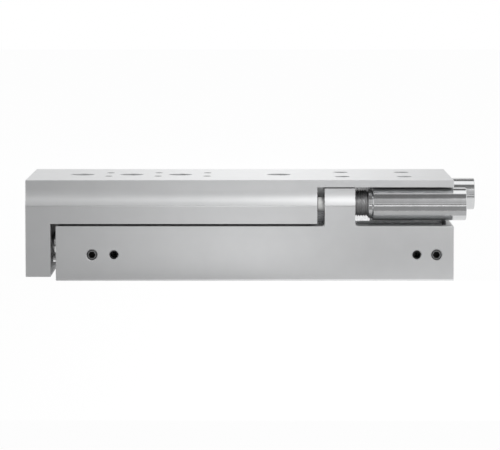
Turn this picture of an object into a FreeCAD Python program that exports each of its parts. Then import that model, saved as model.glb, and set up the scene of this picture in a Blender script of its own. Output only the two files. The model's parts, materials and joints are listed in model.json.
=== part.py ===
import FreeCAD
import Part
import math
import os

# Pneumatic mini slide with a caged ball guide and two end-position absorbers. Millimetres.
# X runs along the stroke, the yoke end is at -X. Z is up. The origin is the middle of the housing's
# bottom face. The drawn state is the retracted one.
V = FreeCAD.Vector

# Overall sizes
HALF_WIDTH = 32.0
TOP_Z = 40.4
HOUSING_END = 79.7
HOUSING_Z = 22.0
STROKE = 80.0

# Flank shape: the top edge is set back and flares out in a hollow arc to a shoulder above a flat side
TOP_SETBACK = 1.6
FLARE_TOP_Z = 36.2
SHOULDER_Z = 30.3
FLAT_INSET = 0.15
FLAT_TOP_Z = 29.7
EDGE_BREAK = 0.2

# Slide
YOKE_X0 = -91.8
YOKE_X1 = -81.8
YOKE_Z0 = 1.6
YOKE_GAP = 0.3
PLATE_Z = 37.5
CORE_Z = 32.8
CORE_HALF = 18.6
SKIRT_Z = 22.9
SKIRT_X1 = 25.0
SKIRT_IN = 19.4
LUG_IN = 19.0
BIG_HOLES_X = (-70.5, -50.4, -30.4, 10.0)
BIG_HOLE_R = 4.8
TOP_THREADS_X = (-59.4, -39.4, -19.4)
TOP_THREADS_Y = 9.0
RAIL_SCREWS_X = (35.6, 60.8)
RAIL_SCREWS_Y = 12.0
YOKE_THREADS_Y = 20.0
YOKE_THREADS_Z = (8.0, 28.0)

# Housing
BLOCK_X0 = 28.0
BLOCK_X1 = 40.2
BLOCK_Z = 37.0
BLOCK_IN = 19.4
MOUNT_R = 2.75
MOUNT_HEAD_R = 4.75
MOUNT_SEAT_Z = 16.4
BASE_THREADS_X = 50.0
BASE_THREADS_Y = 26.0
PORTS_X = (-65.2, 72.8)
SIDE_THREADS_X = (-56.4, 64.9)
REAR_THREADS_X = (-40.0, 40.0)
SIDE_Z = 10.4
SIDE_DEPTH = 9.0
MOUTH = 0.35
TOP_MOUTH = 0.15
M3_TAP_R = 1.25
M4_TAP_R = 1.65
M5_TAP_R = 2.1
SLOT_R = 2.2
SLOT_MOUTH = 3.0

# Cylinder
BORE_Y = -14.2
BORE_Z = 14.0
BORE_R = 6.0
BORE_END = 75.5
CAP_R = 6.5
CAP_X = -68.0
ROD_R = 3.0
PISTON_X0 = 55.0
PISTON_X1 = 67.0
BUFFER_Y = -24.6
BUFFER_Z = 8.4
BUFFER_R = 1.5
FIT = 0.02
RUN = 0.05

# Ball guide
BALL_Y = 14.9
BALL_Z = 28.0
BALL_R = 1.15
RACE_APEX = 1.7
RACE_GAP = 0.8
GUIDE_OUT = 18.4
GUIDE_TOP_Z = 31.6
GUIDE_WEB_Z = 24.2
GUIDE_X = (-79.2, 77.0)
SLIDE_RAIL_IN = 9.9
SLIDE_RAIL_Z = 25.0
SLIDE_RAIL_X = (-81.0, 78.5)
CAGE_X = (-36.5, 33.5)
CAGE_THICK = 0.8
CAGE_HALF_HEIGHT = 2.6
BALL_PITCH = 8.0
BALL_COUNT = 8
GUIDE_SCREWS_X = (-60.4, -10.2, 30.0, 60.0)

# Absorbers
ABSORBER_Y = 25.4
ABSORBER_Z = 30.4
ABSORBER_R = 5.0
ADVANCE_SHIFT = 7.2
BODY_LENGTH = 52.0
NECK_START = 17.4
SLEEVE_START = 19.0
SLEEVE_END = 56.8
SLEEVE_R = 6.6
NECK_R = 5.6
TIP_R = 2.85
TIP_LENGTH = 2.9
TIP_STROKE = 8.0
STOP_GAP = 0.1
REST_X = 76.2
REST_Y = -24.2
REST_R = 0.8


def box(x0, x1, y0, y1, z0, z1):
    return Part.makeBox(x1 - x0, y1 - y0, z1 - z0, V(x0, y0, z0))


def bar_x(x0, x1, r, y, z):
    return Part.makeCylinder(r, x1 - x0, V(x0, y, z), V(1, 0, 0))


def bar_y(y0, y1, r, x, z):
    return Part.makeCylinder(r, y1 - y0, V(x, y0, z), V(0, 1, 0))


def bar_z(z0, z1, r, x, y):
    return Part.makeCylinder(r, z1 - z0, V(x, y, z0), V(0, 0, 1))


def ring_x(x0, x1, r_in, r_out, y, z):
    return bar_x(x0, x1, r_out, y, z).cut(bar_x(x0 - 1, x1 + 1, r_in, y, z))


def hex_x(x0, x1, across, y, z):
    r = across / math.sqrt(3)
    angles = [math.radians(60 * i) for i in range(7)]
    wire = Part.makePolygon([V(x0, y + r * math.cos(a), z + r * math.sin(a)) for a in angles])
    return Part.Face(wire).extrude(V(x1 - x0, 0, 0))


def hex_z(z0, z1, across, x, y):
    r = across / math.sqrt(3)
    angles = [math.radians(60 * i) for i in range(7)]
    wire = Part.makePolygon([V(x + r * math.cos(a), y + r * math.sin(a), z0) for a in angles])
    return Part.Face(wire).extrude(V(0, 0, z1 - z0))


def sweep_yz(points, x0, x1):
    wire = Part.makePolygon([V(x0, y, z) for y, z in points + points[:1]])
    return Part.Face(wire).extrude(V(x1 - x0, 0, 0))


def turned_x(points, y, z):
    # A turned piece about a line along X, from (x, radius) points
    wire = Part.makePolygon([V(x, y + r, z) for x, r in points + points[:1]])
    return Part.Face(wire).revolve(V(0, y, z), V(1, 0, 0), 360)


def flank_side(x, side, z_top, z_low, inner):
    # One flank from z_top to z_low with its flare, closed along the inner line
    top = HALF_WIDTH - TOP_SETBACK
    low = HALF_WIDTH - FLAT_INSET
    rise = FLARE_TOP_Z - SHOULDER_Z
    half_angle = math.atan2(TOP_SETBACK, rise)
    r = rise / math.sin(2 * half_angle)

    def flare(a):
        return V(x, side * (top + r * (1 - math.cos(a))), FLARE_TOP_Z - r * math.sin(a))

    corners = [V(x, side * inner, z_top)]
    if z_top == TOP_Z:
        corners.append(V(x, side * (top - EDGE_BREAK), z_top))
        corners.append(V(x, side * top, z_top - EDGE_BREAK))
    else:
        corners.append(V(x, side * top, z_top))
    corners.append(flare(0))
    edges = list(Part.makePolygon(corners).Edges)
    edges.append(Part.Arc(flare(0), flare(half_angle), flare(2 * half_angle)).toShape())
    tail = [flare(2 * half_angle), V(x, side * low, FLAT_TOP_Z), V(x, side * low, z_low)]
    tail += [V(x, side * inner, z_low), corners[0]]
    edges += Part.makePolygon(tail).Edges
    return Part.Face(Part.Wire(edges))


def flank(x0, x1, side, z_top, z_low, inner):
    return flank_side(x0, side, z_top, z_low, inner).extrude(V(x1 - x0, 0, 0))


def edges_at(shape, test):
    found = []
    for e in shape.Edges:
        if test(e.BoundBox):
            found.append(e)
    return found


def break_end(shape, x):
    # Breaks every edge of the end face that lies at x
    loop = edges_at(shape, lambda b: abs(b.XMin - x) < 1e-3 and abs(b.XMax - x) < 1e-3)
    return shape.makeChamfer(EDGE_BREAK, loop)


def is_cross_edge(b, x, z):
    near = abs(b.XMin - x) < 1e-3 and abs(b.XMax - x) < 1e-3
    return near and abs(b.ZMin - z) < 1e-3 and abs(b.ZMax - z) < 1e-3


def mouth(x, y, z, out, r, c=MOUTH):
    # Chamfer round a hole's mouth, with the outward direction given
    return Part.makeCone(r, r + 2 * c, 2 * c, V(x, y, z) - out * c, out)


def side_hole(x, side):
    # Blind tapped hole with the drill's pointed end
    end = V(x, side * (HALF_WIDTH - SIDE_DEPTH), SIDE_Z)
    hole = Part.makeCylinder(M4_TAP_R, SIDE_DEPTH + 1, end, V(0, side, 0))
    return hole.fuse(Part.makeCone(M4_TAP_R, 0, 0.6 * M4_TAP_R, end, V(0, -side, 0)))


def housing():
    low = HALF_WIDTH - FLAT_INSET
    c = EDGE_BREAK
    outline = [(-low + c, 0), (low - c, 0), (low, c), (low, HOUSING_Z - c), (low - c, HOUSING_Z)]
    outline += [(-low + c, HOUSING_Z), (-low, HOUSING_Z - c), (-low, c)]
    body = sweep_yz(outline, -HOUSING_END, HOUSING_END)
    body = body.fuse(flank(BLOCK_X0, BLOCK_X1, -1, BLOCK_Z, HOUSING_Z - 2, BLOCK_IN))
    body = body.fuse(flank(-HOUSING_END, advance_stop_x(), 1, BLOCK_Z, HOUSING_Z - 2, BLOCK_IN))
    body = body.removeSplitter()
    roots = (BLOCK_X0, BLOCK_X1, advance_stop_x())
    picked = edges_at(body, lambda b: any(is_cross_edge(b, x, HOUSING_Z) for x in roots))
    body = body.makeFillet(1.4, picked)
    corner = edges_at(body, lambda b: is_cross_edge(b, HOUSING_END, HOUSING_Z))
    body = body.makeFillet(0.5, corner)
    body = break_end(body, HOUSING_END)
    body = break_end(body, -HOUSING_END)
    cuts = []
    # Cylinder bore from the yoke end, with the seat of the rod bearing and its retaining groove
    cuts.append(bar_x(-HOUSING_END - 1, BORE_END, BORE_R, BORE_Y, BORE_Z))
    cuts.append(bar_x(-HOUSING_END - 1, CAP_X, CAP_R, BORE_Y, BORE_Z))
    cuts.append(bar_x(-79.35, -78.25, CAP_R + 0.5, BORE_Y, BORE_Z))
    # Air ports on both sides, joined to the bore
    for x in PORTS_X:
        cuts.append(bar_y(-HALF_WIDTH - 1, BORE_Y, M5_TAP_R, x, SIDE_Z))
        cuts.append(bar_y(BORE_Y, HALF_WIDTH - 8, 1.3, x, SIDE_Z))
        cuts.append(bar_y(HALF_WIDTH - 8, HALF_WIDTH + 1, M5_TAP_R, x, SIDE_Z))
        cuts.append(mouth(x, -low, SIDE_Z, V(0, -1, 0), M5_TAP_R))
        cuts.append(mouth(x, low, SIDE_Z, V(0, 1, 0), M5_TAP_R))
    for x in SIDE_THREADS_X:
        cuts.append(side_hole(x, -1))
        cuts.append(mouth(x, -low, SIDE_Z, V(0, -1, 0), M4_TAP_R))
    for x in REAR_THREADS_X:
        cuts.append(side_hole(x, 1))
        cuts.append(mouth(x, low, SIDE_Z, V(0, 1, 0), M4_TAP_R))
    # Fixing holes: counterbored on the middle line, threads in the bottom face
    for x in BIG_HOLES_X:
        cuts.append(bar_z(-1, HOUSING_Z, MOUNT_R, x, 0))
        cuts.append(mouth(x, 0, 0, V(0, 0, -1), MOUNT_R))
        cuts.append(bar_z(MOUNT_SEAT_Z, HOUSING_Z + 1, MOUNT_HEAD_R, x, 0))
    for x in (-BASE_THREADS_X, BASE_THREADS_X):
        for y in (-BASE_THREADS_Y, BASE_THREADS_Y):
            cuts.append(bar_z(-1, 8, M5_TAP_R, x, y))
            cuts.append(mouth(x, y, 0, V(0, 0, -1), M5_TAP_R))
    for x in GUIDE_SCREWS_X:
        cuts.append(bar_z(HOUSING_Z - 9, HOUSING_Z + 1, 2.0 + FIT, x, 0))
    # Sensor slots under the cylinder
    for y in (BORE_Y - 4.5, BORE_Y + 4.5):
        cuts.append(bar_x(-HOUSING_END - 1, HOUSING_END + 1, SLOT_R, y, 2.5))
        cuts.append(box(-HOUSING_END - 1, HOUSING_END + 1, y - SLOT_MOUTH / 2, y + SLOT_MOUTH / 2, -1, 2.5))
    # Absorber thread, seats of the sleeve's rest pin, the stop pin and the yoke's buffer
    cuts.append(bar_x(BLOCK_X0 - 1, BLOCK_X1 + 1, ABSORBER_R + FIT, -ABSORBER_Y, ABSORBER_Z))
    cuts.append(bar_z(HOUSING_Z - 4.1, HOUSING_Z + 1, REST_R + FIT, REST_X, REST_Y))
    cuts.append(bar_x(advance_stop_x() - 8, advance_stop_x() + 1, 4.0 + FIT, ABSORBER_Y, ABSORBER_Z))
    cuts.append(bar_x(-HOUSING_END - 1, -HOUSING_END + 6, BUFFER_R + FIT, BUFFER_Y, BUFFER_Z))
    return body.cut(cuts)


def slide():
    body = flank(YOKE_X0, YOKE_X1, -1, TOP_Z, YOKE_Z0, 0)
    body = body.fuse(flank(YOKE_X0, YOKE_X1, 1, TOP_Z, YOKE_Z0, 0))
    edge = HALF_WIDTH - TOP_SETBACK
    c = EDGE_BREAK
    plate = [(-edge, PLATE_Z), (-CORE_HALF, PLATE_Z), (-CORE_HALF, CORE_Z), (CORE_HALF, CORE_Z)]
    plate += [(CORE_HALF, PLATE_Z), (edge, PLATE_Z), (edge, TOP_Z - c), (edge - c, TOP_Z)]
    plate += [(-edge + c, TOP_Z), (-edge, TOP_Z - c)]
    body = body.fuse(sweep_yz(plate, YOKE_X1 - 1, HOUSING_END))
    body = body.fuse(flank(YOKE_X1 - 1, SKIRT_X1, -1, TOP_Z, SKIRT_Z, SKIRT_IN))
    lug_x = BLOCK_X0 + ADVANCE_SHIFT
    body = body.fuse(flank(lug_x, lug_x + BLOCK_X1 - BLOCK_X0, 1, TOP_Z, SKIRT_Z, LUG_IN))
    body = body.removeSplitter()
    body = break_end(body, YOKE_X0)
    body = break_end(body, HOUSING_END)
    cuts = []
    for x in BIG_HOLES_X:
        cuts.append(bar_z(CORE_Z - 1, TOP_Z + 1, BIG_HOLE_R, x, 0))
        cuts.append(mouth(x, 0, TOP_Z, V(0, 0, 1), BIG_HOLE_R, TOP_MOUTH))
    for x in TOP_THREADS_X:
        for y in (-TOP_THREADS_Y, TOP_THREADS_Y):
            cuts.append(bar_z(CORE_Z - 1, TOP_Z + 1, M4_TAP_R, x, y))
            cuts.append(mouth(x, y, TOP_Z, V(0, 0, 1), M4_TAP_R, TOP_MOUTH))
    for x in RAIL_SCREWS_X:
        for y in (-RAIL_SCREWS_Y, RAIL_SCREWS_Y):
            cuts.append(bar_z(CORE_Z - 1, TOP_Z, 1.7, x, y))
            cuts.append(bar_z(PLATE_Z - 1.5, TOP_Z + 1, 3.1, x, y))
    # Yoke: rod seat and screw, threads for a front load
    cuts.append(bar_x(YOKE_X1 - 1, YOKE_X1 + 1, ROD_R + FIT, BORE_Y, BORE_Z))
    cuts.append(bar_x(YOKE_X0 - 1, YOKE_X1, 2.1, BORE_Y, BORE_Z))
    cuts.append(bar_x(YOKE_X0 - 1, YOKE_X0 + 4.4, 3.6, BORE_Y, BORE_Z))
    cuts.append(mouth(YOKE_X0, BORE_Y, BORE_Z, V(-1, 0, 0), 3.6))
    for y in (-YOKE_THREADS_Y, YOKE_THREADS_Y):
        for z in YOKE_THREADS_Z:
            cuts.append(bar_x(YOKE_X0 - 1, YOKE_X1 + 1, M4_TAP_R, y, z))
            cuts.append(mouth(YOKE_X0, y, z, V(-1, 0, 0), M4_TAP_R))
    # Stop pin seat in the skirt end, absorber thread in the lug
    cuts.append(bar_x(SKIRT_X1 - 8, SKIRT_X1 + 1, 4.0 + FIT, -ABSORBER_Y, ABSORBER_Z))
    cuts.append(bar_x(lug_x - 1, lug_x + 14, ABSORBER_R + FIT, ABSORBER_Y, ABSORBER_Z))
    return body.cut(cuts)


def advance_stop_x():
    # Where the extended slide's pressed-in tip comes to rest
    return BLOCK_X0 + ADVANCE_SHIFT - TIP_LENGTH - STROKE - STOP_GAP


def race_groove(x0, x1, side):
    # A diamond whose corners are the bottoms of the two facing vee raceways
    y = side * BALL_Y
    a = RACE_APEX
    return sweep_yz([(y - a, BALL_Z), (y, BALL_Z - a), (y + a, BALL_Z), (y, BALL_Z + a)], x0, x1)


def guide_rail():
    inner = BALL_Y + RACE_GAP
    x0, x1 = GUIDE_X
    outline = [(-GUIDE_OUT, HOUSING_Z), (GUIDE_OUT, HOUSING_Z), (GUIDE_OUT, GUIDE_TOP_Z)]
    outline += [(inner, GUIDE_TOP_Z), (inner, GUIDE_WEB_Z), (-inner, GUIDE_WEB_Z)]
    outline += [(-inner, GUIDE_TOP_Z), (-GUIDE_OUT, GUIDE_TOP_Z)]
    rail = sweep_yz(outline, x0, x1)
    cuts = [race_groove(x0 - 1, x1 + 1, -1), race_groove(x0 - 1, x1 + 1, 1)]
    for x in BIG_HOLES_X:
        cuts.append(bar_z(HOUSING_Z - 1, GUIDE_WEB_Z + 1, MOUNT_HEAD_R, x, 0))
    for x in GUIDE_SCREWS_X:
        cuts.append(guide_screw(x, FIT))
        cuts.append(bar_z(GUIDE_WEB_Z - 0.1, GUIDE_WEB_Z + 1, 4.0, x, 0))
    for side in (-1, 1):
        for x in (x0 + 0.9, x1 - 0.9):
            cuts.append(bar_z(GUIDE_WEB_Z - 1.6, GUIDE_WEB_Z + 1, 0.5 + FIT, x, side * BALL_Y))
    return rail.cut(cuts)


def guide_screw(x, extra):
    # Countersunk screw on the middle line
    head = Part.makeCone(2.0 + extra, 4.0 + extra, 2.0, V(x, 0, GUIDE_WEB_Z - 2.1), V(0, 0, 1))
    return head.fuse(bar_z(HOUSING_Z - 8, GUIDE_WEB_Z - 1, 2.0 + extra, x, 0))


def guide_screws():
    made = []
    for x in GUIDE_SCREWS_X:
        screw = guide_screw(x, 0).removeSplitter()
        made.append(screw.cut(hex_z(GUIDE_WEB_Z - 1.4, GUIDE_WEB_Z, 2.5, x, 0)))
    return Part.makeCompound(made)


def cage_stops():
    # Pins at the rail ends that keep the cages in
    made = []
    for side in (-1, 1):
        for x in (GUIDE_X[0] + 0.9, GUIDE_X[1] - 0.9):
            made.append(bar_z(GUIDE_WEB_Z - 1.5, BALL_Z - 1.3, 0.5, x, side * BALL_Y))
    return Part.makeCompound(made)


def slide_rail(side):
    x0, x1 = SLIDE_RAIL_X
    outer = BALL_Y - RACE_GAP
    rail = box(x0, x1, SLIDE_RAIL_IN, outer, SLIDE_RAIL_Z, CORE_Z)
    if side < 0:
        rail = box(x0, x1, -outer, -SLIDE_RAIL_IN, SLIDE_RAIL_Z, CORE_Z)
    cuts = [race_groove(x0 - 1, x1 + 1, side)]
    for x in RAIL_SCREWS_X:
        cuts.append(bar_z(CORE_Z - 5, CORE_Z + 1, 1.5 + FIT, x, side * RAIL_SCREWS_Y))
    return rail.cut(cuts)


def rail_screws():
    seat = PLATE_Z - 1.5
    made = []
    for x in RAIL_SCREWS_X:
        for y in (-RAIL_SCREWS_Y, RAIL_SCREWS_Y):
            screw = bar_z(seat, seat + 3.0, 2.75, x, y).fuse(bar_z(CORE_Z - 4.5, seat, 1.5, x, y))
            screw = screw.removeSplitter()
            made.append(screw.cut(hex_z(seat + 1.5, seat + 4, 2.5, x, y)))
    return Part.makeCompound(made)


def ball_places():
    first = (CAGE_X[0] + CAGE_X[1]) / 2 - BALL_PITCH * (BALL_COUNT - 1) / 2
    return [first + BALL_PITCH * i for i in range(BALL_COUNT)]


def ball_cage(side):
    y = side * BALL_Y
    t = CAGE_THICK / 2
    strip = box(CAGE_X[0], CAGE_X[1], y - t, y + t, BALL_Z - CAGE_HALF_HEIGHT, BALL_Z + CAGE_HALF_HEIGHT)
    return strip.cut([bar_y(y - 2, y + 2, BALL_R + FIT, x, BALL_Z) for x in ball_places()])


def balls(side):
    return Part.makeCompound([Part.makeSphere(BALL_R, V(x, side * BALL_Y, BALL_Z)) for x in ball_places()])


def rod_bearing():
    r = CAP_R - FIT
    nose = YOKE_X1 + YOKE_GAP
    shape = [(nose, ROD_R + RUN), (nose, 4.0), (nose + 0.4, 4.4), (-78.25, 4.4), (-78.25, r)]
    shape += [(-72.0, r), (-72.0, 5.3), (-70.2, 5.3), (-70.2, r), (CAP_X, r), (CAP_X, ROD_R + RUN)]
    shape += [(-73.4, ROD_R + RUN), (-73.4, 4.6), (-76.0, 4.6), (-76.0, ROD_R + RUN)]
    return turned_x(shape, BORE_Y, BORE_Z)


def rod_seal():
    shape = [(-75.95, ROD_R + RUN), (-75.95, 4.58), (-73.45, 4.58), (-73.45, 3.9), (-74.6, 3.7)]
    shape += [(-73.45, 3.35), (-73.45, ROD_R + RUN)]
    return turned_x(shape, BORE_Y, BORE_Z)


def bearing_o_ring():
    return Part.makeTorus(5.9, 0.57, V(-71.1, BORE_Y, BORE_Z), V(1, 0, 0))


def bearing_circlip():
    ring = ring_x(-79.3, -78.3, 5.4, CAP_R + 0.45, BORE_Y, BORE_Z)
    return ring.cut(box(-80, -78, BORE_Y - 1.8, BORE_Y + 1.8, BORE_Z - 9, BORE_Z))


def port_plugs():
    made = []
    y0 = -HALF_WIDTH + FLAT_INSET + 0.5
    for x in PORTS_X:
        rim = Part.makeCone(M5_TAP_R - 0.4, M5_TAP_R - FIT, 0.4, V(x, y0, SIDE_Z), V(0, 1, 0))
        plug = rim.fuse(bar_y(y0 + 0.4, y0 + 5, M5_TAP_R - FIT, x, SIDE_Z)).removeSplitter()
        r = 2.5 / math.sqrt(3)
        angles = [math.radians(60 * i) for i in range(7)]
        ring = [V(x + r * math.cos(a), y0, SIDE_Z + r * math.sin(a)) for a in angles]
        made.append(plug.cut(Part.Face(Part.makePolygon(ring)).extrude(V(0, 3.2, 0))))
    return Part.makeCompound(made)


def yoke_buffer():
    tip = YOKE_X1 + YOKE_GAP
    shape = [(tip, 0), (tip, BUFFER_R - 0.4), (tip + 0.4, BUFFER_R)]
    shape += [(-HOUSING_END + 5.8, BUFFER_R), (-HOUSING_END + 5.8, 0)]
    return turned_x(shape, BUFFER_Y, BUFFER_Z)


def piston_rod():
    x0 = YOKE_X1 - 1 + FIT
    rod = bar_x(x0, PISTON_X0, ROD_R, BORE_Y, BORE_Z)
    rod = rod.fuse(bar_x(PISTON_X0, PISTON_X1 + 2.6, 2.0, BORE_Y, BORE_Z)).removeSplitter()
    return rod.cut(bar_x(x0 - 1, x0 + 9.5, 2.0 + FIT, BORE_Y, BORE_Z))


def piston():
    r = BORE_R - RUN
    shape = [(PISTON_X0 + FIT, 2.0 + FIT), (PISTON_X0 + FIT, r), (56.6, r), (56.6, 4.4), (58.8, 4.4), (58.8, r)]
    shape += [(59.6, r), (59.6, 3.8), (62.4, 3.8), (62.4, r), (63.2, r), (63.2, 4.4), (65.4, 4.4), (65.4, r)]
    shape += [(PISTON_X1, r), (PISTON_X1, 2.0 + FIT)]
    return turned_x(shape, BORE_Y, BORE_Z)


def piston_seals():
    made = []
    for x in (57.7, 64.3):
        shape = [(x - 1.0, 4.42), (x - 0.8, BORE_R - RUN), (x, 5.4), (x + 0.8, BORE_R - RUN), (x + 1.0, 4.42)]
        made.append(turned_x(shape, BORE_Y, BORE_Z))
    return Part.makeCompound(made)


def piston_magnet():
    return ring_x(59.65, 62.35, 3.82, BORE_R - 0.3, BORE_Y, BORE_Z)


def piston_nut():
    nut = hex_x(PISTON_X1 + FIT, PISTON_X1 + 2.4, 7.0, BORE_Y, BORE_Z)
    return nut.cut(bar_x(PISTON_X1 - 1, PISTON_X1 + 4, 2.0 + FIT, BORE_Y, BORE_Z))


def yoke_screw():
    x0 = YOKE_X0 + 0.4
    screw = bar_x(x0, x0 + 4.0, 3.5, BORE_Y, BORE_Z)
    screw = screw.fuse(bar_x(x0 + 4.0, YOKE_X1 + 8, 2.0, BORE_Y, BORE_Z)).removeSplitter()
    return screw.cut(hex_x(x0 - 1, x0 + 2.2, 3.0, BORE_Y, BORE_Z))


def sleeve_rest_pin():
    return bar_z(HOUSING_Z - 4, ABSORBER_Z - SLEEVE_R - 0.35, REST_R, REST_X, REST_Y)


def stop_pin(face_x, y):
    return bar_x(face_x - 7.9, face_x, 4.0, y, ABSORBER_Z)


def absorber_body(x0, y):
    # Threaded tube: front wall with the rod hole, oil chamber behind it
    r = ABSORBER_R
    shape = [(x0, 1.3), (x0, r - 0.5), (x0 + 0.5, r), (x0 + BODY_LENGTH, r), (x0 + BODY_LENGTH, 3.6)]
    shape += [(x0 + 8, 3.6), (x0 + 8, 1.3)]
    return turned_x(shape, y, ABSORBER_Z)


def absorber_plug(x0, y):
    plug = bar_x(x0 + 44, x0 + BODY_LENGTH, 3.6 - FIT, y, ABSORBER_Z)
    return plug.cut(hex_x(x0 + 49, x0 + BODY_LENGTH + 1, 3.0, y, ABSORBER_Z))


def stop_sleeve(x0, y):
    r = SLEEVE_R
    bore = ABSORBER_R + FIT
    a = x0 + NECK_START
    b = x0 + SLEEVE_START
    e = x0 + SLEEVE_END
    wall = x0 + BODY_LENGTH + 0.2
    shape = [(a, bore), (a, NECK_R - 0.3), (a + 0.3, NECK_R), (b, NECK_R), (b + 0.4, r - 0.2), (b + 0.6, r)]
    shape += [(e - 0.25, r), (e, r - 0.25), (e, 0), (wall, 0), (wall, bore)]
    sleeve = turned_x(shape, y, ABSORBER_Z)
    return sleeve.cut(hex_x(e - 3.6, e + 1, 6.0, y, ABSORBER_Z))


def plunger(x0, y, out):
    # Rod with its damping disc, drawn out of the tube by the given length
    rod = bar_x(x0 - TIP_LENGTH + 1 - out, x0 + 20 - out, 1.25, y, ABSORBER_Z)
    disc = bar_x(x0 + 17 - out, x0 + 20 - out, 3.5, y, ABSORBER_Z)
    return rod.fuse(disc).removeSplitter()


def plunger_tip(x0, y, out):
    a = x0 - TIP_LENGTH - out
    b = x0 - out - 0.02
    r = TIP_R
    shape = [(a, 0), (a, r - 0.6), (a + 0.2, r - 0.2), (a + 0.6, r), (b, r), (b, 1.25 + FIT)]
    shape += [(a + 1 - FIT, 1.25 + FIT), (a + 1 - FIT, 0)]
    return turned_x(shape, y, ABSORBER_Z)


RETRACT_X = BLOCK_X0
ADVANCE_X = BLOCK_X0 + ADVANCE_SHIFT
NODES = {
    "housing": housing(),
    "slide": slide(),
    "guide_rail": guide_rail(),
    "guide_rail_screws": guide_screws(),
    "cage_stop_pins": cage_stops(),
    "slide_rail_front": slide_rail(-1),
    "slide_rail_rear": slide_rail(1),
    "slide_rail_screws": rail_screws(),
    "ball_cage_front": ball_cage(-1),
    "ball_cage_rear": ball_cage(1),
    "balls_front": balls(-1),
    "balls_rear": balls(1),
    "rod_bearing": rod_bearing(),
    "rod_seal": rod_seal(),
    "bearing_o_ring": bearing_o_ring(),
    "bearing_circlip": bearing_circlip(),
    "port_plugs": port_plugs(),
    "yoke_buffer": yoke_buffer(),
    "piston_rod": piston_rod(),
    "piston": piston(),
    "piston_seals": piston_seals(),
    "piston_magnet": piston_magnet(),
    "piston_nut": piston_nut(),
    "yoke_screw": yoke_screw(),
    "sleeve_rest_pin": sleeve_rest_pin(),
    "retract_stop_pin": stop_pin(SKIRT_X1, -ABSORBER_Y),
    "advance_stop_pin": stop_pin(advance_stop_x(), ABSORBER_Y),
    "retract_absorber_body": absorber_body(RETRACT_X, -ABSORBER_Y),
    "retract_absorber_plug": absorber_plug(RETRACT_X, -ABSORBER_Y),
    "retract_stop_sleeve": stop_sleeve(RETRACT_X, -ABSORBER_Y),
    "retract_plunger": plunger(RETRACT_X, -ABSORBER_Y, 0),
    "retract_plunger_tip": plunger_tip(RETRACT_X, -ABSORBER_Y, 0),
    "advance_absorber_body": absorber_body(ADVANCE_X, ABSORBER_Y),
    "advance_absorber_plug": absorber_plug(ADVANCE_X, ABSORBER_Y),
    "advance_stop_sleeve": stop_sleeve(ADVANCE_X, ABSORBER_Y),
    "advance_plunger": plunger(ADVANCE_X, ABSORBER_Y, TIP_STROKE),
    "advance_plunger_tip": plunger_tip(ADVANCE_X, ABSORBER_Y, TIP_STROKE),
}
os.makedirs("parts", exist_ok=True)
for name, shape in NODES.items():
    shape.exportStep("parts/" + name + ".step")
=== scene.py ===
import json
import math
import bmesh
import bpy
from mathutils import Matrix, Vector


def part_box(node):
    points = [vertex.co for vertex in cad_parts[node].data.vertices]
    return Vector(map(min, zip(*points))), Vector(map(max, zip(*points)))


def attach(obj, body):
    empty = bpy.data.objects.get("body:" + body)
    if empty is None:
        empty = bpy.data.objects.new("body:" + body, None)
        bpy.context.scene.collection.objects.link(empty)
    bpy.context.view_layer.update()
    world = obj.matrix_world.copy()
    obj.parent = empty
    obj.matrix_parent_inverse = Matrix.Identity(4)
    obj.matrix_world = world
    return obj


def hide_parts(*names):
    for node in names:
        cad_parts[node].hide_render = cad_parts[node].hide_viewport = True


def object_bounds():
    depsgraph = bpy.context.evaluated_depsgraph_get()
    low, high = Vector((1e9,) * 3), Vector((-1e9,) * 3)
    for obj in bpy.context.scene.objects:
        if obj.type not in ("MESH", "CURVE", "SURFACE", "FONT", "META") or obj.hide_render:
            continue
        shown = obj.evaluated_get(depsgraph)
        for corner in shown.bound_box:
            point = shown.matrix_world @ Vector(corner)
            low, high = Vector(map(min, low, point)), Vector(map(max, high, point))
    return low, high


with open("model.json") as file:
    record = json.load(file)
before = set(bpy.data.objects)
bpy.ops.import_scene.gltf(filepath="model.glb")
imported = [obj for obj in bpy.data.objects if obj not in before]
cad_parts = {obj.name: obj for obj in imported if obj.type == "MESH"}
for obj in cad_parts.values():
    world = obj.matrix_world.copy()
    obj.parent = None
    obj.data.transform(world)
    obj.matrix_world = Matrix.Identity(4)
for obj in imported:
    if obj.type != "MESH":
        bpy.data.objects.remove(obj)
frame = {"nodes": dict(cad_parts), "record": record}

CAD_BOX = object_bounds()
MM = 0.001

# Looks: the share of a noise pattern that is spread out, and the broad pattern against the fine one
NOISE_SPAN = (0.3, 0.7)
BROAD_GRAIN = 0.08
BROAD_DETAIL = 3.0
FINE_DETAIL = 2.0
RELIEF = 0.02 * MM
EVEN = (1, 1, 1)
ALONG_X = (0.06, 1, 1)
# Painted shade: the dark tint of the thread steel's gloss at a low angle
PAINTED_GRAZING_SHADE = (0.05, 0.05, 0.05, 1)
# Painted shade inside the plug's key socket: its near-black, and the depths over which it comes in
PAINTED_KEY_SHADE_BLACK = (0.01, 0.01, 0.01, 1)
PAINTED_SHADE_SPAN = (0.1 * MM, 1.0 * MM)

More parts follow.
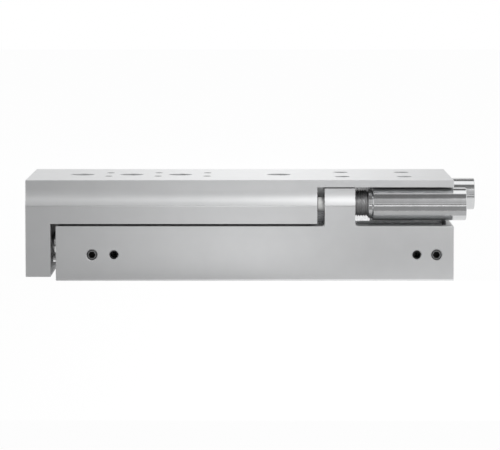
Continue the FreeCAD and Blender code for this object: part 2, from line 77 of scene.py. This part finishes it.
# Each slot: dark tint, light tint, metallic, roughness, grain, stretch of the grain, relief
FINISHES = {
    "anodised_aluminium": ((0.645, 0.65, 0.655), (0.665, 0.67, 0.675), 0.7, (0.36, 0.40), 1800, EVEN, 0.06),
    "hardened_steel": ((0.24, 0.245, 0.25), (0.29, 0.295, 0.30), 1.0, (0.22, 0.34), 2500, ALONG_X, 0.12),
    "polished_steel": ((0.61, 0.615, 0.62), (0.65, 0.655, 0.66), 1.0, (0.08, 0.14), 3000, EVEN, 0.03),
    "thread_steel": ((0.42, 0.42, 0.425), (0.48, 0.48, 0.485), 1.0, (0.34, 0.42), 3000, EVEN, 0.06),
    "black_screw": ((0.022, 0.022, 0.024), (0.035, 0.035, 0.037), 0.5, (0.36, 0.5), 3000, EVEN, 0.12),
    "plug_steel": ((0.20, 0.202, 0.205), (0.25, 0.252, 0.255), 0.9, (0.3, 0.42), 3000, EVEN, 0.10),
    "seal_rubber": ((0.012, 0.012, 0.012), (0.02, 0.02, 0.02), 0.0, (0.55, 0.7), 2500, EVEN, 0.15),
    "brass_cage": ((0.55, 0.38, 0.13), (0.63, 0.45, 0.17), 1.0, (0.25, 0.36), 2500, ALONG_X, 0.08),
    "tip_polymer": ((0.88, 0.88, 0.865), (0.92, 0.92, 0.905), 0.0, (0.34, 0.44), 2500, EVEN, 0.06),
    "magnet": ((0.06, 0.06, 0.065), (0.09, 0.09, 0.095), 0.4, (0.5, 0.65), 2500, EVEN, 0.15),
}

# Absorber tube: its inside, and its M10x1 thread with a lead-in at the front and a run-out at the end
TUBE_SIDES = 72
END_WALL = 8 * MM
BORE_R = 3.6 * MM
ROD_HOLE_R = 1.3 * MM
THREAD_PITCH = 1.0 * MM
THREAD_DEPTH = 0.61 * MM
THREAD_RUN = 21.0 * MM
THREAD_FIRST = 0.252 * MM
THREAD_STEPS = 252
CREST_FLAT = 0.12
FLANK = 0.70
FACE_DROP = 0.7 * MM
LEAD_START = 0.25 * MM
LEAD_LENGTH = 0.45 * MM
LEAD_DROP = 0.55 * MM
RUN_OUT = 1.2 * MM

# Bright plate on the stop block, two opposite corners in mm
TAB_LOW = (40.2, -20.2, 23.1)
TAB_HIGH = (46.4, -19.4, 37.0)
BOX_SIDES = [(0, 2, 3, 1), (4, 5, 7, 6), (0, 1, 5, 4), (2, 6, 7, 3), (0, 4, 6, 2), (1, 3, 7, 5)]

# Thread ridges in the tapped holes, coloured near-black as painted shade: ridge sizes as shares of the
# pitch, and how its ends taper
M4_PITCH = 0.7 * MM
M5_PITCH = 0.8 * MM
RIDGE_PER_TURN = 28
RIDGE_START = 0.1
RIDGE_HALF_BASE = 0.4
RIDGE_HEIGHT = 0.42
RIDGE_SUNK = 0.05 * MM
RIDGE_TAPERS = 3
RIDGE_END = 0.1

# Each pattern of tapped holes: mount, body, length of the ridge, pitch
RIDGED_HOLES = [
    ("slide_top_threads", "slide_body", 6.6 * MM, M4_PITCH),
    ("slide_top_threads_mid", "slide_body", 6.6 * MM, M4_PITCH),
    ("yoke_threads", "slide_body", 9.0 * MM, M4_PITCH),
    ("side_threads_front", "housing_body", 7.8 * MM, M4_PITCH),
    ("side_threads_rear", "housing_body", 7.8 * MM, M4_PITCH),
    ("base_threads", "housing_body", 7.0 * MM, M5_PITCH),
    ("air_port_advance", "housing_body", 6.8 * MM, M5_PITCH),
    ("air_port_retract", "housing_body", 6.8 * MM, M5_PITCH),
]

# Room: floor and world
FLOOR_HALF = 3.0
FLOOR_DROP = 0.02 * MM
FLOOR_GREY = (0.9, 0.9, 0.9, 1)
FLOOR_GLOW = 0.97
WORLD_TINT = (0.97, 0.98, 1.0, 1)
WORLD_SOFT = 0.5

# Cards beside the picture, in mm: places along X, Y and Z, then the stretch of X over which the grey changes
CARD_FLOOR_Z = -0.01
CARD_CEILING_Z = 700
CARD_FRONT_Y = -800
CARD_REAR_Y = 600
FLAT_CARDS = [
    ("floor_card", (-500, 300), (-380, -31.9), CARD_FLOOR_Z, (-130, 60), (0.25, 1.55)),
    ("back_card", (-600, 300), (-800, -380), CARD_FLOOR_Z, (-130, 60), (0.03, 0.12)),
    ("foot_card", (-130, 160), (-58, -32.1), 0.5, (-100, 40), (0.35, 0.62)),
    ("front_card", (10, 160), (-190, -58), 1, (10, 48), (1.05, 0.36)),
    ("ceiling_card", (-900, 185), (-760, -170), CARD_CEILING_Z, (-200, 200), (0.12, 0.22)),
    ("over_card", (90, 210), (-120, 214), CARD_CEILING_Z, (90, 210), (1.35, 1.35)),
    ("rear_card", (90, 210), (297, 725), CARD_CEILING_Z, (90, 210), (0.15, 0.15)),
]
WALL_CARDS = [
    ("low_card", (-600, 300), CARD_FRONT_Y, (0, 60), (-150, 150), (0.15, 0.3)),
    ("line_card", (-600, 300), CARD_FRONT_Y, (60, 125), (-150, 150), (0.6, 0.8)),
    ("far_card", (-600, 185), CARD_FRONT_Y, (125, 760), (-150, 150), (0.2, 0.55)),
    ("glow_left", (-500, 10), CARD_REAR_Y, (0, 420), (-150, 10), (0.88, 1.47)),
    ("glow_right", (10, 500), CARD_REAR_Y, (0, 420), (10, 170), (1.47, 0.74)),
]

# Camera
CAMERA_PLACE = (-1.9 * MM, -1164.7 * MM, 127.2 * MM)
CAMERA_DOWN = 5.281
SENSOR_WIDTH = 36.0
LENS = 204.83
CLIP_END = 20.0


# Materials

def noise(tree, scale, detail, stretch):
    coords = tree.nodes.new("ShaderNodeTexCoord")
    mapping = tree.nodes.new("ShaderNodeMapping")
    mapping.inputs["Scale"].default_value = stretch
    tree.links.new(coords.outputs["Object"], mapping.inputs["Vector"])
    tex = tree.nodes.new("ShaderNodeTexNoise")
    tex.inputs["Scale"].default_value = scale
    tex.inputs["Detail"].default_value = detail
    tree.links.new(mapping.outputs["Vector"], tex.inputs["Vector"])
    return tex.outputs["Fac"]


def spread(tree, fac, low, high):
    ramp = tree.nodes.new("ShaderNodeMapRange")
    ramp.inputs["From Min"].default_value = NOISE_SPAN[0]
    ramp.inputs["From Max"].default_value = NOISE_SPAN[1]
    ramp.inputs["To Min"].default_value = low
    ramp.inputs["To Max"].default_value = high
    tree.links.new(fac, ramp.inputs["Value"])
    return ramp.outputs["Result"]


def tinted(tree, fac, dark, light):
    ramp = tree.nodes.new("ShaderNodeValToRGB")
    ramp.color_ramp.elements[0].position = NOISE_SPAN[0]
    ramp.color_ramp.elements[0].color = (*dark, 1)
    ramp.color_ramp.elements[1].position = NOISE_SPAN[1]
    ramp.color_ramp.elements[1].color = (*light, 1)
    tree.links.new(fac, ramp.inputs["Fac"])
    return ramp.outputs["Color"]


def finish_material(name, dark, light, metallic, rough, grain, stretch, bump):
    # A broad change of tint, and a fine grain in the gloss and the relief
    mat = bpy.data.materials.new(name)
    mat.use_nodes = True
    tree = mat.node_tree
    bsdf = tree.nodes["Principled BSDF"]
    bsdf.inputs["Metallic"].default_value = metallic
    broad = noise(tree, grain * BROAD_GRAIN, BROAD_DETAIL, EVEN)
    fine = noise(tree, grain, FINE_DETAIL, stretch)
    tree.links.new(tinted(tree, broad, dark, light), bsdf.inputs["Base Color"])
    tree.links.new(spread(tree, fine, rough[0], rough[1]), bsdf.inputs["Roughness"])
    relief = tree.nodes.new("ShaderNodeBump")
    relief.inputs["Strength"].default_value = bump
    relief.inputs["Distance"].default_value = RELIEF
    tree.links.new(fine, relief.inputs["Height"])
    tree.links.new(relief.outputs["Normal"], bsdf.inputs["Normal"])
    return mat


def paint_socket_shade(mat):
    # Painted shade: the plug's steel colour is mixed towards near-black deeper in its key socket, where
    # shade falls
    tree = mat.node_tree
    colour = tree.nodes["Principled BSDF"].inputs["Base Color"]
    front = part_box("port_plugs")[0][1]
    coords = tree.nodes.new("ShaderNodeTexCoord")
    parts = tree.nodes.new("ShaderNodeSeparateXYZ")
    tree.links.new(coords.outputs["Object"], parts.inputs[0])
    depth = tree.nodes.new("ShaderNodeMapRange")
    depth.inputs["From Min"].default_value = front + PAINTED_SHADE_SPAN[0]
    depth.inputs["From Max"].default_value = front + PAINTED_SHADE_SPAN[1]
    tree.links.new(parts.outputs["Y"], depth.inputs["Value"])
    mix = tree.nodes.new("ShaderNodeMix")
    mix.data_type = "RGBA"
    tree.links.new(depth.outputs["Result"], mix.inputs["Factor"])
    tree.links.new(colour.links[0].from_socket, mix.inputs["A"])
    mix.inputs["B"].default_value = PAINTED_KEY_SHADE_BLACK
    tree.links.new(mix.outputs["Result"], colour)


def paint_grazing_shade(mat):
    # Painted shade: the steel's gloss is tinted dark grey where it is seen at a low angle, in place of dark
    # surroundings in the reflection
    mat.node_tree.nodes["Principled BSDF"].inputs["Specular Tint"].default_value = PAINTED_GRAZING_SHADE


def make_materials():
    made = {slot: finish_material(slot, *values) for slot, values in FINISHES.items()}
    paint_grazing_shade(made["thread_steel"])
    paint_socket_shade(made["plug_steel"])
    return made


MATERIALS = make_materials()
SLOT_OF = {s["node"]: s["material_slot"] for s in frame["record"]["subparts"]}
MOUNTS = {m["name"]: m for m in frame["record"]["mounts"]}


def dress_nodes():
    for node, obj in frame["nodes"].items():
        obj.data.materials.clear()
        obj.data.materials.append(MATERIALS[SLOT_OF[node]])


# Pieces

def link_object(name, data):
    obj = bpy.data.objects.new(name, data)
    bpy.context.scene.collection.objects.link(obj)
    return obj


def lathe_mesh(name, rings):
    # A closed skin over a loop of rings of points: each ring joins the next, and the last joins the first
    count = len(rings[0])
    verts = []
    for ring in rings:
        verts += ring
    faces = []
    for i in range(len(rings)):
        a = i * count
        b = (i + 1) % len(rings) * count
        for k in range(count):
            n = (k + 1) % count
            faces.append((a + k, a + n, b + n, b + k))
    mesh = bpy.data.meshes.new(name)
    mesh.from_pydata(verts, [], faces)
    mesh.update()
    return mesh


def thread_depth(turns):
    # 0 on the crest, 1 in the root of a 60 degree thread with narrow flats
    ramp = abs(turns % 1.0 - 0.5) * 2
    return min(1.0, max(0.0, (ramp - CREST_FLAT) / FLANK))


def threaded_tube(name, node, body):
    # The absorber's tube with its fine outer thread, over the length that shows
    low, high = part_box(node)
    y = (low[1] + high[1]) / 2
    z = (low[2] + high[2]) / 2
    crest = (high[1] - low[1]) / 2
    front = low[0]
    end = high[0]

    def ring(x, radius_at):
        made = []
        for k in range(TUBE_SIDES):
            turn = k / TUBE_SIDES
            a = 2 * math.pi * turn
            r = radius_at(turn)
            made.append((x, y + r * math.cos(a), z + r * math.sin(a)))
        return made

    def plain_ring(x, radius):
        return ring(x, lambda turn: radius)

    rings = [plain_ring(front, ROD_HOLE_R), plain_ring(front, crest - FACE_DROP)]
    for i in range(THREAD_STEPS + 1):
        along = THREAD_FIRST + (THREAD_RUN - THREAD_FIRST) * i / THREAD_STEPS
        lead = min(along - LEAD_START, LEAD_LENGTH) / LEAD_LENGTH
        top = crest - LEAD_DROP * (1 - max(0.0, lead))
        depth = THREAD_DEPTH * min(1.0, (THREAD_RUN - along) / RUN_OUT)
        rings.append(ring(front + along, lambda turn: min(
            top, crest - depth * thread_depth(along / THREAD_PITCH - turn))))
    rings.append(plain_ring(end, crest))
    rings.append(plain_ring(end, BORE_R))
    rings.append(plain_ring(front + END_WALL, BORE_R))
    rings.append(plain_ring(front + END_WALL, ROD_HOLE_R))
    tube = link_object(name, lathe_mesh(name, rings))
    tube.data.materials.append(MATERIALS["thread_steel"])
    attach(tube, body)
    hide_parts(node)


def block_tab(low, high):
    # The thin bright plate on the stop block, behind the absorber's thread
    corners = [[(low, high)[i >> k & 1][k] * MM for k in range(3)] for i in range(8)]
    mesh = bpy.data.meshes.new("block_tab")
    mesh.from_pydata(corners, [], BOX_SIDES)
    tab = link_object("block_tab", mesh)
    tab.data.materials.append(MATERIALS["polished_steel"])
    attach(tab, "housing_body")


def hole_places(mount):
    # The mouths of a bolt pattern, or of one threaded hole given by the middle of its length
    axis = Vector(mount["axis"])
    dims = mount["dims"]
    middle = Vector(mount["pos_m"]) + axis * dims.get("length_mm", 0) / 2 * MM
    across = Vector((0, 1, 0)) if axis.x else Vector((1, 0, 0))
    up = Vector((0, 1, 0)) if axis.z else Vector((0, 0, 1))
    a = dims.get("spacing_x_mm", 0) / 2 * MM
    b = dims.get("spacing_y_mm", 0) / 2 * MM
    places = []
    for i in sorted({-a, a}):
        for j in sorted({-b, b}):
            places.append(middle + across * i + up * j)
    return places, -axis, across, up


def painted_shade_threads(mount, body, length, pitch):
    # A thread ridge along the wall of each tapped hole; its near-black colour is painted shade inside the
    # hole
    places, inward, across, up = hole_places(mount)
    dims = mount["dims"]
    wall = dims.get("hole_r_mm", dims.get("r_mm")) * MM
    half_base = RIDGE_HALF_BASE * pitch
    section = ((RIDGE_SUNK, -half_base), (-RIDGE_HEIGHT * pitch, 0), (RIDGE_SUNK, half_base))
    steps = round(length / pitch * RIDGE_PER_TURN)
    mesh = bmesh.new()
    for place in places:
        rows = []
        for i in range(steps + 1):
            turn = i / RIDGE_PER_TURN
            a = 2 * math.pi * turn
            out = across * math.cos(a) + up * math.sin(a)
            grown = min(1, i * RIDGE_TAPERS / RIDGE_PER_TURN, (steps - i) * RIDGE_TAPERS / RIDGE_PER_TURN)
            row = []
            for r, shift in section:
                along = (RIDGE_START + turn) * pitch + shift * max(grown, RIDGE_END)
                row.append(mesh.verts.new(place + inward * along + out * (wall + max(r, r * grown))))
            rows.append(row)
        for low, high in zip(rows, rows[1:]):
            for k in range(3):
                n = (k + 1) % 3
                mesh.faces.new((low[k], low[n], high[n], high[k]))
        mesh.faces.new(rows[0])
        mesh.faces.new(rows[-1])
    bmesh.ops.recalc_face_normals(mesh, faces=mesh.faces)
    name = mount["name"] + "_ridge"
    data = bpy.data.meshes.new(name)
    mesh.to_mesh(data)
    mesh.free()
    ridge = link_object(name, data)
    # Painted shade: the ridge takes the near-black screw finish so that the hole reads dark
    ridge.data.materials.append(MATERIALS["black_screw"])
    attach(ridge, body)


# Room, light and camera

def sight(tree):
    # 1 for rays that show the white room: seen directly, in a gloss or through glass
    path = tree.nodes.new("ShaderNodeLightPath")
    glossy = tree.nodes.new("ShaderNodeMath")
    glossy.operation = "MAXIMUM"
    tree.links.new(path.outputs["Is Camera Ray"], glossy.inputs[0])
    tree.links.new(path.outputs["Is Glossy Ray"], glossy.inputs[1])
    both = tree.nodes.new("ShaderNodeMath")
    both.operation = "MAXIMUM"
    tree.links.new(glossy.outputs[0], both.inputs[0])
    tree.links.new(path.outputs["Is Transmission Ray"], both.inputs[1])
    return both.outputs[0]


def bare_tree(holder, output):
    # An empty node tree that holds only its output
    holder.use_nodes = True
    tree = holder.node_tree
    tree.nodes.clear()
    return tree, tree.nodes.new(output)


def floor_material():
    mat = bpy.data.materials.new("floor_white")
    tree, out = bare_tree(mat, "ShaderNodeOutputMaterial")
    diffuse = tree.nodes.new("ShaderNodeBsdfDiffuse")
    diffuse.inputs["Color"].default_value = FLOOR_GREY
    white = tree.nodes.new("ShaderNodeEmission")
    share = tree.nodes.new("ShaderNodeMath")
    share.operation = "MULTIPLY"
    share.inputs[1].default_value = FLOOR_GLOW
    tree.links.new(sight(tree), share.inputs[0])
    mix = tree.nodes.new("ShaderNodeMixShader")
    tree.links.new(share.outputs[0], mix.inputs["Fac"])
    tree.links.new(diffuse.outputs[0], mix.inputs[1])
    tree.links.new(white.outputs[0], mix.inputs[2])
    tree.links.new(mix.outputs[0], out.inputs["Surface"])
    return mat


def card_material(name, reach, greys):
    # A grey that changes along X, from the first to the second value over the reach
    mat = bpy.data.materials.new(name)
    tree, out = bare_tree(mat, "ShaderNodeOutputMaterial")
    glow = tree.nodes.new("ShaderNodeEmission")
    coords = tree.nodes.new("ShaderNodeTexCoord")
    parts = tree.nodes.new("ShaderNodeSeparateXYZ")
    ramp = tree.nodes.new("ShaderNodeMapRange")
    ramp.interpolation_type = "SMOOTHSTEP"
    ramp.inputs["From Min"].default_value = reach[0] * MM
    ramp.inputs["From Max"].default_value = reach[1] * MM
    ramp.inputs["To Min"].default_value = greys[0]
    ramp.inputs["To Max"].default_value = greys[1]
    tree.links.new(coords.outputs["Object"], parts.inputs[0])
    tree.links.new(parts.outputs["X"], ramp.inputs["Value"])
    tree.links.new(ramp.outputs["Result"], glow.inputs["Strength"])
    tree.links.new(glow.outputs[0], out.inputs["Surface"])
    return mat


def stage_plane(name, corners, mat):
    mesh = bpy.data.meshes.new(name)
    mesh.from_pydata(corners, [], [(0, 1, 2, 3)])
    mesh.materials.append(mat)
    obj = link_object(name, mesh)
    return obj


def make_floor():
    s = FLOOR_HALF
    z = CAD_BOX[0][2] - FLOOR_DROP
    stage_plane("floor", [(-s, -s, z), (s, -s, z), (s, s, z), (-s, s, z)], floor_material())


def make_card(name, corners, reach, greys):
    # A grey card beside the picture, which shows in the metal only
    card = stage_plane(name, [[v * MM for v in p] for p in corners], card_material(name, reach, greys))
    card.visible_camera = False
    card.visible_shadow = False


def flat_card(name, x, y, z, reach, greys):
    make_card(name, [(x[0], y[0], z), (x[1], y[0], z), (x[1], y[1], z), (x[0], y[1], z)], reach, greys)


def wall_card(name, x, y, z, reach, greys):
    make_card(name, [(x[0], y, z[0]), (x[1], y, z[0]), (x[1], y, z[1]), (x[0], y, z[1])], reach, greys)


def make_world():
    world = bpy.data.worlds.new("studio")
    bpy.context.scene.world = world
    tree, out = bare_tree(world, "ShaderNodeOutputWorld")
    soft = tree.nodes.new("ShaderNodeBackground")
    soft.inputs["Color"].default_value = WORLD_TINT
    soft.inputs["Strength"].default_value = WORLD_SOFT
    white = tree.nodes.new("ShaderNodeBackground")
    white.inputs["Color"].default_value = (1, 1, 1, 1)
    mix = tree.nodes.new("ShaderNodeMixShader")
    tree.links.new(sight(tree), mix.inputs["Fac"])
    tree.links.new(soft.outputs[0], mix.inputs[1])
    tree.links.new(white.outputs[0], mix.inputs[2])
    tree.links.new(mix.outputs[0], out.inputs["Surface"])


def area_light(name, place, aim, size, power):
    data = bpy.data.lights.new(name, "AREA")
    data.shape = "RECTANGLE"
    data.size = size[0]
    data.size_y = size[1]
    data.energy = power
    lamp = link_object(name, data)
    lamp.location = place
    lamp.rotation_euler = (Vector(aim) - Vector(place)).to_track_quat("-Z", "Y").to_euler()


def make_camera():
    data = bpy.data.cameras.new("camera")
    data.sensor_width = SENSOR_WIDTH
    data.sensor_fit = "HORIZONTAL"
    data.lens = LENS
    data.clip_end = CLIP_END
    cam = link_object("camera", data)
    cam.location = CAMERA_PLACE
    cam.rotation_euler = (math.radians(90 - CAMERA_DOWN), 0, 0)
    bpy.context.scene.camera = cam


dress_nodes()
threaded_tube("retract_thread_tube", "retract_absorber_body", "housing_body")
threaded_tube("advance_thread_tube", "advance_absorber_body", "slide_body")
block_tab(TAB_LOW, TAB_HIGH)
for mount_name, body, length, pitch in RIDGED_HOLES:
    painted_shade_threads(MOUNTS[mount_name], body, length, pitch)

make_floor()
make_world()
for card in FLAT_CARDS:
    flat_card(*card)
for card in WALL_CARDS:
    wall_card(*card)
area_light("softbox", place=(0.62, -1.6, 1.07), aim=(0.05, 0, 0.03), size=(0.42, 0.8), power=13.5)
area_light("left_top", place=(-0.6, -0.05, 0.75), aim=(0, 0, 0.03), size=(0.8, 0.35), power=0.8)
make_camera()
bpy.context.scene.view_settings.view_transform = "Standard"
